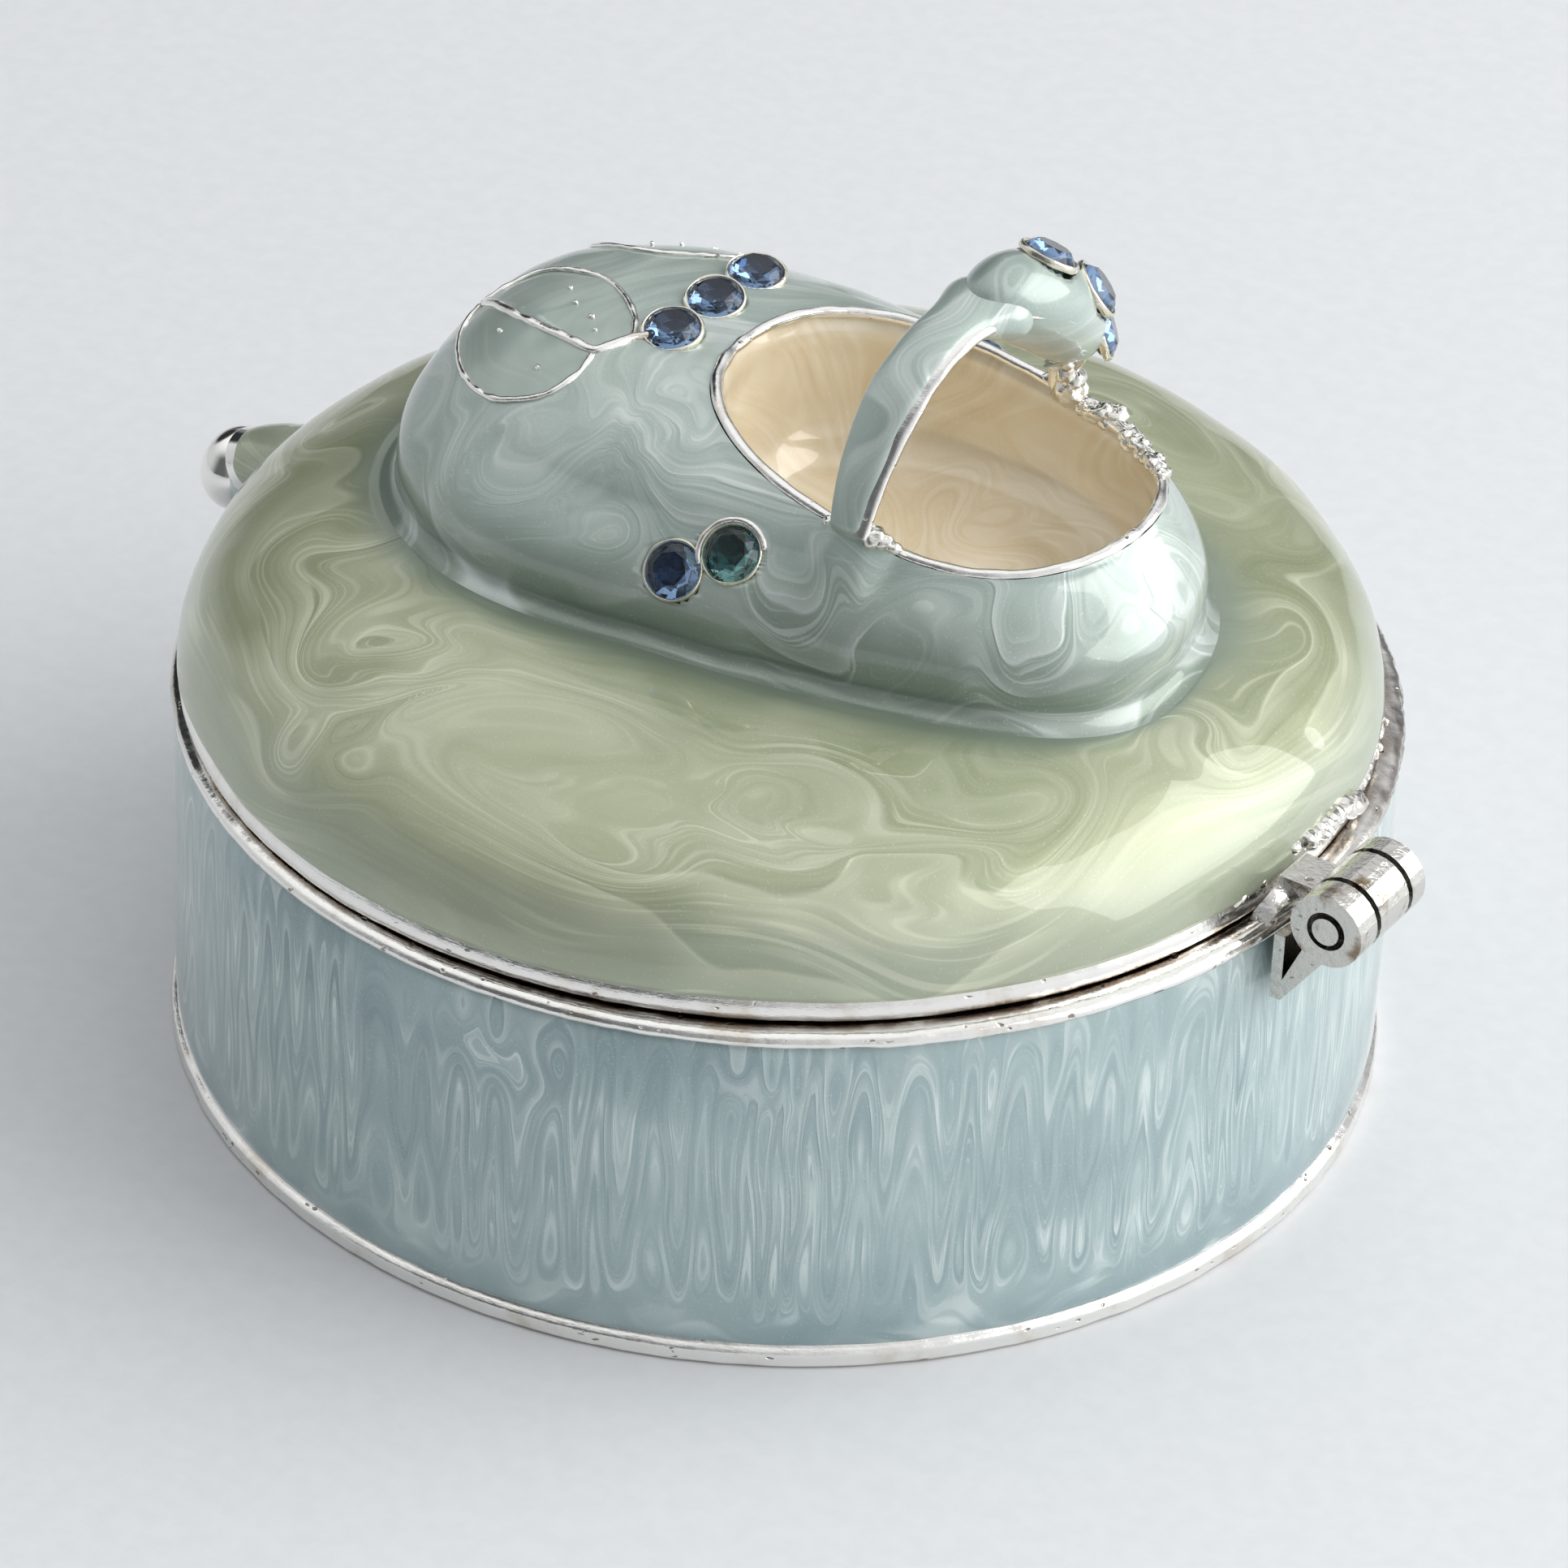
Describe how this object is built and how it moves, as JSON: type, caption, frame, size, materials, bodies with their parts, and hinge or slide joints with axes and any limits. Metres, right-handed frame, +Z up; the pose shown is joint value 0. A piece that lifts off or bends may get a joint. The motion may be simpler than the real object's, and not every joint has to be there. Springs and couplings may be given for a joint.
{
  "type": "shoe trinket box",
  "caption": "Small round enamelled metal trinket box with a hinged domed lid that carries a modelled strap shoe set with blue stones.",
  "frame": {"origin": "centre of the round underside of the box, on the surface that it stands on", "axes": "+Z up, +X from the box's centre to the hinge, which puts the thumb knob and the shoe's toe at -X"},
  "size_m": [0.0589, 0.0508, 0.0375],
  "materials": {
    "ice_blue_enamel": "pale ice-blue pearl enamel over cast metal, polished silver rims",
    "sage_enamel": "sage green pearl enamel with creamy swirls",
    "cream_enamel": "cream pearl enamel inside the shoe",
    "aqua_enamel": "pale aqua pearl enamel with silver edges",
    "silver_plate": "silver plate, lightly worn and tarnished",
    "sapphire_glass": "faceted foil-backed sapphire-blue glass"
  },
  "bodies": {
    "base": {"box_base": "ice_blue_enamel", "hinge_leaf_base": "silver_plate", "hinge_pin": "silver_plate"},
    "lid": {"lid": "sage_enamel", "shoe_strap": "aqua_enamel", "hinge_leaf_lid": "silver_plate", "vamp_stone_1": "sapphire_glass", "vamp_stone_2": "sapphire_glass", "vamp_stone_3": "sapphire_glass", "near_side_stone_1": "sapphire_glass", "near_side_stone_2": "sapphire_glass", "far_side_stone_1": "sapphire_glass", "far_side_stone_2": "sapphire_glass", "strap_stone_1": "sapphire_glass", "strap_stone_2": "sapphire_glass", "strap_stone_3": "sapphire_glass"}
  },
  "joints": [
    {"name": "lid_hinge", "type": "hinge", "parent": "base", "child": "lid", "pos_m": [0.0277, -0.00145, 0.01715], "axis": [0, 1, 0], "range_deg": [0, 100]}
  ]
}
